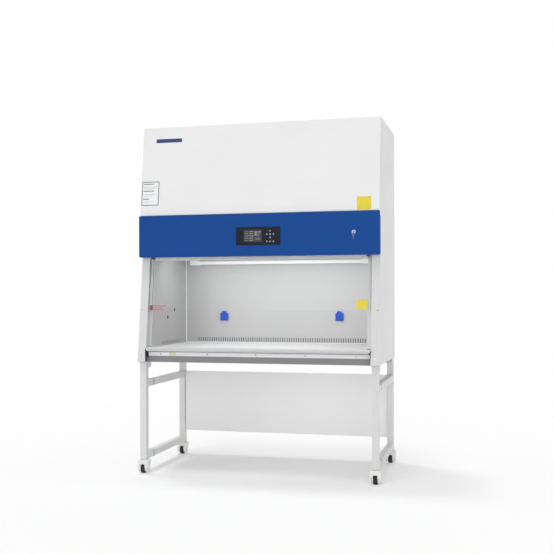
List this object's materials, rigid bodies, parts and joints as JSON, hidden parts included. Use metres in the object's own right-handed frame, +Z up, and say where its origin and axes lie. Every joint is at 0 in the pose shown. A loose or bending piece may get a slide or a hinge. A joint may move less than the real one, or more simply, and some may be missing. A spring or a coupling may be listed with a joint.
{
  "type": "biosafety cabinet on a stand",
  "caption": "Biosafety cabinet with sliding slanted glass, slotted steel chamber, hinged blue control panel, blower and filters, on a tube stand with casters.",
  "frame": {"origin": "on the floor under the middle of the overall box", "axes": "+Z up, the window faces -Y, +X to the right when facing the window"},
  "size_m": [1.5144, 0.76, 2.158],
  "materials": {
    "aluminium": "cast",
    "base_grey": "satin",
    "blue_paint": "satin powder coat",
    "blue_plastic": "moulded",
    "dark_steel": "matt",
    "display_black": "smooth",
    "filter_media": "pleated",
    "grey_plastic": "moulded",
    "key_grey": "soft touch",
    "lamp_glass": "opal",
    "sash_glass": "clear toughened",
    "silver_metal": "polished",
    "stainless": "fine brushed",
    "tyre": "matt",
    "white_paint": "satin powder coat",
    "white_plastic": "moulded",
    "zinc_steel": "plated"
  },
  "bodies": {
    "cabinet": {"leg_front_left": "white_paint", "leg_front_right": "white_paint", "leg_rear_left": "white_paint", "leg_rear_right": "white_paint", "rail_upper_left": "white_paint", "rail_upper_right": "white_paint", "rail_lower_left": "white_paint", "rail_lower_right": "white_paint", "rail_collars": "grey_plastic", "modesty_panel": "white_paint", "base_pan": "base_grey", "side_panel_left": "white_paint", "side_panel_right": "white_paint", "rear_panel": "white_paint", "top_panel": "white_paint", "front_apron": "white_paint", "upper_front_panel": "white_paint", "pillar_left": "white_paint", "pillar_right": "white_paint", "work_tray": "stainless", "chamber_back_wall": "stainless", "chamber_wall_left": "stainless", "chamber_wall_right": "stainless", "diffuser": "white_paint", "sash_motor": "dark_steel", "socket_inserts": "white_plastic", "lamp_tubes": "lamp_glass", "lamp_holders": "white_plastic", "supply_filter": "filter_media", "exhaust_filter": "filter_media", "plenum_box": "zinc_steel", "blower_motor": "dark_steel", "screws": "silver_metal"},
    "sash": {"sash_glass": "sash_glass", "sash_racks": "grey_plastic"},
    "sash_drive": {"sash_drive_shaft": "zinc_steel"},
    "front_door": {"control_panel": "blue_paint", "display_module": "display_black"},
    "lock": {"lock_plug": "silver_metal", "lock_key": "silver_metal"},
    "keys_on_ring": {"key_ring": "silver_metal"},
    "socket_cover_l": {"socket_cover_left": "blue_plastic"},
    "socket_cover_r": {"socket_cover_right": "blue_plastic"},
    "impeller": {"blower_impeller": "aluminium"},
    "key_up_body": {"key_up": "key_grey"},
    "key_left_body": {"key_left": "key_grey"},
    "key_enter_body": {"key_enter": "key_grey"},
    "key_right_body": {"key_right": "key_grey"},
    "key_down_body": {"key_down": "key_grey"},
    "key_light_body": {"key_light": "key_grey"},
    "key_fan_body": {"key_fan": "key_grey"},
    "key_uv_body": {"key_uv": "key_grey"},
    "caster_fl": {"caster_fork_fl": "white_plastic"},
    "wheel_fl": {"caster_wheel_fl": "tyre"},
    "caster_fr": {"caster_fork_fr": "white_plastic"},
    "wheel_fr": {"caster_wheel_fr": "tyre"},
    "caster_rl": {"caster_fork_rl": "white_plastic"},
    "wheel_rl": {"caster_wheel_rl": "tyre"},
    "caster_rr": {"caster_fork_rr": "white_plastic"},
    "wheel_rr": {"caster_wheel_rr": "tyre"}
  },
  "joints": [
    {"name": "sash_slide", "type": "slide", "parent": "cabinet", "child": "sash", "axis": [0, 0.1288, 0.9917], "range_m": [-0.228, 0.2]},
    {"name": "sash_drive_turn", "type": "hinge", "parent": "cabinet", "child": "sash_drive", "pos_m": [0, -0.2477, 1.4], "axis": [1, 0, 0], "range_deg": [-660, 740]},
    {"name": "front_door_hinge", "type": "hinge", "parent": "cabinet", "child": "front_door", "pos_m": [0, -0.334, 1.589], "axis": [-1, 0, 0], "range_deg": [0, 60]},
    {"name": "lock_turn", "type": "hinge", "parent": "front_door", "child": "lock", "pos_m": [0.6, -0.343, 1.4735], "axis": [0, 1, 0], "range_deg": [0, 90]},
    {"name": "key_ring_swing", "type": "hinge", "parent": "lock", "child": "keys_on_ring", "pos_m": [0.6, -0.365, 1.4688], "axis": [1, 0, 0], "range_deg": [-50, 15]},
    {"name": "key_up_press", "type": "slide", "parent": "front_door", "child": "key_up_body", "axis": [0, 1, 0], "range_m": [0, 0.001], "stiffness_N_per_m": 400},
    {"name": "key_left_press", "type": "slide", "parent": "front_door", "child": "key_left_body", "axis": [0, 1, 0], "range_m": [0, 0.001], "stiffness_N_per_m": 400},
    {"name": "key_enter_press", "type": "slide", "parent": "front_door", "child": "key_enter_body", "axis": [0, 1, 0], "range_m": [0, 0.001], "stiffness_N_per_m": 400},
    {"name": "key_right_press", "type": "slide", "parent": "front_door", "child": "key_right_body", "axis": [0, 1, 0], "range_m": [0, 0.001], "stiffness_N_per_m": 400},
    {"name": "key_down_press", "type": "slide", "parent": "front_door", "child": "key_down_body", "axis": [0, 1, 0], "range_m": [0, 0.001], "stiffness_N_per_m": 400},
    {"name": "key_light_press", "type": "slide", "parent": "front_door", "child": "key_light_body", "axis": [0, 1, 0], "range_m": [0, 0.001], "stiffness_N_per_m": 400},
    {"name": "key_fan_press", "type": "slide", "parent": "front_door", "child": "key_fan_body", "axis": [0, 1, 0], "range_m": [0, 0.001], "stiffness_N_per_m": 400},
    {"name": "key_uv_press", "type": "slide", "parent": "front_door", "child": "key_uv_body", "axis": [0, 1, 0], "range_m": [0, 0.001], "stiffness_N_per_m": 400},
    {"name": "socket_cover_hinge_l", "type": "hinge", "parent": "cabinet", "child": "socket_cover_l", "pos_m": [-0.398, 0.2835, 0.99], "axis": [-1, 0, 0], "range_deg": [0, 95]},
    {"name": "socket_cover_hinge_r", "type": "hinge", "parent": "cabinet", "child": "socket_cover_r", "pos_m": [0.398, 0.2835, 0.99], "axis": [-1, 0, 0], "range_deg": [0, 95]},
    {"name": "impeller_spin", "type": "hinge", "parent": "cabinet", "child": "impeller", "pos_m": [0, 0.213, 1.76], "axis": [0, 1, 0], "continuous": true},
    {"name": "caster_swivel_fl", "type": "hinge", "parent": "cabinet", "child": "caster_fl", "pos_m": [-0.7245, -0.334, 0.06], "axis": [0, 0, 1], "continuous": true},
    {"name": "wheel_spin_fl", "type": "hinge", "parent": "caster_fl", "child": "wheel_fl", "pos_m": [-0.7245, -0.346, 0.025], "axis": [1, 0, 0], "continuous": true},
    {"name": "caster_swivel_fr", "type": "hinge", "parent": "cabinet", "child": "caster_fr", "pos_m": [0.7245, -0.334, 0.06], "axis": [0, 0, 1], "continuous": true},
    {"name": "wheel_spin_fr", "type": "hinge", "parent": "caster_fr", "child": "wheel_fr", "pos_m": [0.7245, -0.346, 0.025], "axis": [1, 0, 0], "continuous": true},
    {"name": "caster_swivel_rl", "type": "hinge", "parent": "cabinet", "child": "caster_rl", "pos_m": [-0.7245, 0.352, 0.06], "axis": [0, 0, 1], "continuous": true},
    {"name": "wheel_spin_rl", "type": "hinge", "parent": "caster_rl", "child": "wheel_rl", "pos_m": [-0.7245, 0.34, 0.025], "axis": [1, 0, 0], "continuous": true},
    {"name": "caster_swivel_rr", "type": "hinge", "parent": "cabinet", "child": "caster_rr", "pos_m": [0.7245, 0.352, 0.06], "axis": [0, 0, 1], "continuous": true},
    {"name": "wheel_spin_rr", "type": "hinge", "parent": "caster_rr", "child": "wheel_rr", "pos_m": [0.7245, 0.34, 0.025], "axis": [1, 0, 0], "continuous": true}
  ],
  "couplings": [
    {"joint": "sash_drive_turn", "follows": "sash_slide", "rad_per_m": -55.556}
  ]
}
